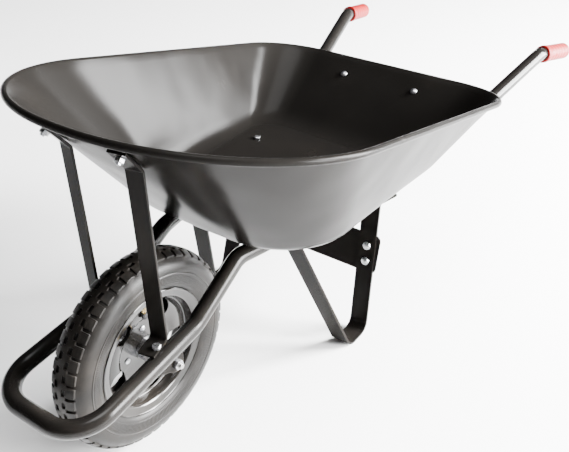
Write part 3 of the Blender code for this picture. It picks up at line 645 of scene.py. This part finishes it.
# %% [markdown]
# ## The tyre's section
#
# The tyre is moulded rubber. From the bead on the rim's seat the sidewall swells out, with a raised line round
# its widest part, and turns in at the shoulder to the crown. Inside it is hollow, with room for the tube.

# %% The tyre's section
STEPS = 192
TREAD = [-0.0265, -0.0195, -0.0120, -0.0045, 0.0045, 0.0120, 0.0195, 0.0265]
GROOVE = 0.0035
CROWN_FALL = 0.0072
BEAD_CLEAR = 0.0015


def tread_radius(x):
    return TYRE_RADIUS - GROOVE - CROWN_FALL * (abs(x) / TREAD[-1]) ** 2.6


def tyre_profile():
    seat, bead = RIM_HALF_WIDTH - RIM_SHEET - BEAD_CLEAR, BEAD_SEAT + BEAD_CLEAR
    side = [
        (seat, bead), (seat + 0.0002, bead + 0.009), (0.0308, 0.1262), (0.0328, 0.1290), (0.0335, 0.1310),
        (0.0348, 0.1345), (0.0362, 0.1405), (0.0370, 0.1480), (0.0371, 0.1520), (0.0379, 0.1526),
        (0.0379, 0.1540), (0.0370, 0.1546), (0.0366, 0.1600), (0.0352, 0.1660), (0.0330, 0.1712),
        (0.0300, 0.1752),
    ]
    crown = [(x, tread_radius(x)) for x in TREAD]
    lining = [(-0.0192, bead), (-0.030, 0.150), (-0.020, 0.176), (0.020, 0.176), (0.030, 0.150), (0.0192, bead)]
    return [(-x, r) for x, r in side] + crown + side[::-1] + lining[::-1]


bm = face_outwards(turned(tyre_profile(), STEPS, HUB))
print("tyre's skin has", len(bm.faces), "faces before its tread")


# %% [markdown]
# ## The tread
#
# The tread has a rib round the middle, a zigzag beside it, then blocks, and lugs on the shoulders, about 25 mm
# apart. A bump would look flat at the tyre's edge. So the blocks are regions of the skin extruded outwards, and
# the grooves between them have real sides.

# %% The tread
def block_at(row, step):
    """Whether the tread stands proud in this row of the section at this step round the tyre."""
    if row == 3:
        return True
    if row in (2, 4):
        return (step % 4 < 2) == (row == 2)
    if row in (1, 5):
        return (step + (2 if row == 5 else 0)) % 4 != 0
    return (step + (1 if row == 6 else 3)) % 4 < 3


def stands_proud(face):
    middle = face.calc_center_median() - HUB
    row = next((k for k in range(len(TREAD) - 1) if TREAD[k] < middle.x < TREAD[k + 1]), None)
    crown = math.hypot(middle.y, middle.z) >= TYRE_RADIUS - GROOVE - 0.009
    if row is None or not crown or face.normal.dot(Vector((0, middle.y, middle.z))) < 0:
        return False
    return block_at(row, round(math.atan2(middle.z, middle.y) / (2 * math.pi) * STEPS - 0.5) % STEPS)


raised = [face for face in bm.faces if stands_proud(face)]
print(len(raised), "faces of the crown are raised")
made = bmesh.ops.extrude_face_region(bm, geom=raised)["geom"]
bmesh.ops.delete(bm, geom=raised, context="FACES_ONLY")
for vert in (g for g in made if isinstance(g, bmesh.types.BMVert)):
    out = Vector((0, vert.co.y - HUB.y, vert.co.z - HUB.z))
    vert.co += out.normalized() * GROOVE
bmesh.ops.recalc_face_normals(bm, faces=bm.faces)
tyre = finish_object("treaded_tyre", face_outwards(bm), 40)
round_off(tyre, 0.0005, 45, 1)
tyre.data.materials.append(RUBBER)
join_frame(tyre, "wheel", "tyre_rubber", "tyre")

# %% [markdown]
# ## The punch for the wheel's openings
#
# The wheel's discs are pierced by round openings. Their edges could be bridged by hand, but a punch cuts the
# real ones, so a ring of cylinders does it here, and a Boolean modifier takes them away from the sheet.

# %% The punch for the wheel's openings
bm = bmesh.new()
for k in range(OPENINGS):
    turn = 2 * math.pi * (k + 0.5) / OPENINGS
    spot = HUB + Vector((0, math.sin(turn), math.cos(turn))) * OPENING_CIRCLE
    bmesh.ops.create_cone(
        bm, cap_ends=True, segments=40, radius1=OPENING_RADIUS, radius2=OPENING_RADIUS, depth=0.08,
        matrix=Matrix.Translation(spot) @ Matrix.Rotation(math.pi / 2, 4, "Y"),
    )
punch = finish_object("opening_punch", bm)
punch.hide_render = True
punch.display_type = "WIRE"
print(OPENINGS, "openings of", 2 * OPENING_RADIUS, "m")

# %% [markdown]
# ## The pressed wheel
#
# Two steel pressings are riveted back to back on the hub's flange. Each has a dished disc with the openings, a
# step, and a channel whose flange holds the tyre's bead. The section is spun finely, given the thickness of
# its sheet, and pierced where the real one is punched, in the order of the press shop.

# %% The pressed wheel
PROFILE = [
    (0.0018, HUB_RADIUS + 0.0006), (0.0018, 0.0590), (0.0025, 0.0625), (0.0060, 0.0675), (0.0075, 0.0705),
    (0.0078, 0.0800), (0.0075, 0.0885), (0.0064, 0.0915), (0.0043, 0.0950), (0.0035, 0.0970), (0.0035, 0.1006),
    (0.0045, 0.1026), (0.0085, 0.1040), (0.0160, 0.1045), (0.0215, 0.1052), (0.0248, 0.1070), (0.0262, 0.1100),
    (0.0268, 0.1180), (0.0280, 0.1212), (RIM_HALF_WIDTH, FLANGE_RADIUS - 0.0010),
    (0.0303, FLANGE_RADIUS - 0.0004),
]
for name, side in SIDES:
    bm = turned([(side * x, r) for x, r in PROFILE], 120, HUB, closed=False)
    disc = min(bm.faces, key=lambda f: (f.calc_center_median() - HUB).length)
    if disc.normal.x * side > 0:
        bmesh.ops.reverse_faces(bm, faces=bm.faces)
    rim = finish_object(f"{name}_pressed_rim", bm, 60)
    thicken(rim, RIM_SHEET)
    pierce = rim.modifiers.new("openings", "BOOLEAN")
    pierce.operation, pierce.solver, pierce.object = "DIFFERENCE", "EXACT", punch
    round_off(rim, 0.0006, 50)
    rim.data.materials.append(PAINTS["rim_paint"])
    join_frame(rim, "wheel", "rim_paint", f"{name}_rim_half")


# %% [markdown]
# ## The grips
#
# Each grip is a soft plastic sleeve pushed over the end of the tube, with a collar at its mouth, rounded
# finger ribs along it and a domed end. All of that is round, so one section holds it: the ribs are a cosine
# along the sleeve, and the dome is a quarter of an ellipse.

# %% The grips
RIB_HEIGHT = 0.0003
STEPS_PER_RIB = 10
RIB_STEP = 0.0015


def grip_profile(bore, outer):
    mouth = [(-GRIP_LENGTH, bore), (-GRIP_LENGTH, outer), (-GRIP_LENGTH + 0.001, outer + 0.0011)]
    mouth += [(-GRIP_LENGTH + 0.004, outer + 0.0015), (-GRIP_LENGTH + 0.009, outer + 0.0015)]
    mouth += [(-GRIP_LENGTH + 0.011, outer + 0.0009), (-GRIP_LENGTH + 0.0125, outer)]
    waves = [RIB_HEIGHT * math.cos(k * 2 * math.pi / STEPS_PER_RIB) for k in range(61)]
    ribs = [(-GRIP_LENGTH + 0.014 + k * RIB_STEP, outer - RIB_HEIGHT + w) for k, w in enumerate(waves)]
    dome = [math.radians(9 * k) for k in range(1, 10)]
    tip = [(-0.0085 + 0.012 * math.sin(t), outer - 0.010 + 0.010 * math.cos(t)) for t in dome]
    return mouth + ribs + tip + [(0.0035, 0), (GAP, 0), (GAP, bore)]


for name, side in SIDES:
    axis = (placed(HAND_END, side) - placed(HAND_BEND, side)).normalized()
    profile = grip_profile(TUBE_RADIUS + GAP, TUBE_RADIUS + GAP + GRIP_WALL)
    bm = turned(profile, 64, placed(HAND_END, side), axis)
    grip = finish_object(f"{name}_ribbed_grip", face_outwards(bm), 50)
    grip.data.materials.append(RED)
    join_frame(grip, "frame", "red_grip", f"{name}_grip")

# %% [markdown]
# ## Floor and sky
#
# A large pale floor carries a soft shadow and is the brightest thing that the paint reflects. The sky is dim,
# so that the black paint stays black.

# %% Floor and sky
floor_finish = Surface("pale_floor", (0.93, 0.93, 0.93), 0.9)
floor_finish.set("Roughness", floor_finish.noise(2.0) * 0.05 + 0.88)
bm = bmesh.new()
bmesh.ops.create_grid(bm, x_segments=1, y_segments=1, size=40)
bmesh.ops.translate(bm, vec=(0, 0, -0.001), verts=bm.verts)
ground = finish_object("studio_floor", bm)
ground.data.materials.append(floor_finish.material)

world = bpy.data.worlds.new("studio")
bpy.context.scene.world = world
world.use_nodes = True
sky = world.node_tree.nodes["Background"].inputs
sky["Color"].default_value = (1, 1, 1, 1)
sky["Strength"].default_value = 0.10
print("sky strength", round(sky["Strength"].default_value, 2))


# %% [markdown]
# ## Lights
#
# Gloss black shows its lights more than its colour, so their shapes matter. A tall window at the handles' side
# makes the broad sheen on the far wall of the tray and the line along the tube. A narrow strip nearer the
# wheel picks out the tyre and the disc, a weak panel stands behind the handles, and a wide soft sun lights the
# floor. A picture of a room could light the scene too, but four lights are easier to move.

# %% Lights
def add_light(name, kind, place, aim, watts, **settings):
    light = bpy.data.lights.new(name, kind)
    light.energy = watts
    for key, value in settings.items():
        setattr(light, key, value)
    lamp = bpy.data.objects.new(name, light)
    lamp.location = place
    lamp.rotation_euler = (Vector(aim) - Vector(place)).to_track_quat("-Z", "Y").to_euler()
    bpy.context.scene.collection.objects.link(lamp)
    print(name, kind, watts)


def softbox(name, place, aim, width, height, watts):
    add_light(name, "AREA", place, aim, watts, shape="RECTANGLE", size=width, size_y=height)


softbox("side_window", (2.75, 2.35, 1.45), (-0.2, 0, 0.5), 1.7, 2.6, 3000)
softbox("side_strip", (3.0, 0.50, 0.95), (0.1, -0.4, 0.25), 0.8, 1.5, 520)
softbox("back_wall", (0.5, 4.6, 1.0), (0, 0, 0.4), 2.6, 1.6, 60)
add_light("high_sky", "SUN", (0.6, 0.2, 4), (0, 0, 0), 2.7, angle=math.radians(30))

# %% [markdown]
# ## Camera
#
# The camera stands close by on the left, and looks down on the end with the wheel. Its direction is two angles and a small
# roll, which say more than a matrix, and its own three axes are worked out from them.

# %% Camera
AZIMUTH, ELEVATION, ROLL = (math.radians(a) for a in (35.18, 33.53, -0.69))
CAMERA_PLACE = (0.8116, -0.671, 1.1259)
back = Vector((
    math.sin(AZIMUTH) * math.cos(ELEVATION), -math.cos(AZIMUTH) * math.cos(ELEVATION), math.sin(ELEVATION),
))
level = Vector((math.cos(AZIMUTH), math.sin(AZIMUTH), 0))
rise = back.cross(level)
right = level * math.cos(ROLL) + rise * math.sin(ROLL)
up = rise * math.cos(ROLL) - level * math.sin(ROLL)
turn = Matrix((right, up, back)).transposed().to_4x4()
lens = bpy.data.cameras.new("camera")
lens.sensor_width, lens.lens = 36, 48.04
lens.shift_x, lens.shift_y = -0.0211, -0.0063
camera = bpy.data.objects.new("camera", lens)
camera.matrix_world = Matrix.Translation(placed(CAMERA_PLACE)) @ turn
bpy.context.scene.collection.objects.link(camera)
bpy.context.scene.camera = camera
print("camera at", [round(c, 3) for c in camera.matrix_world.translation])

# %% [markdown]
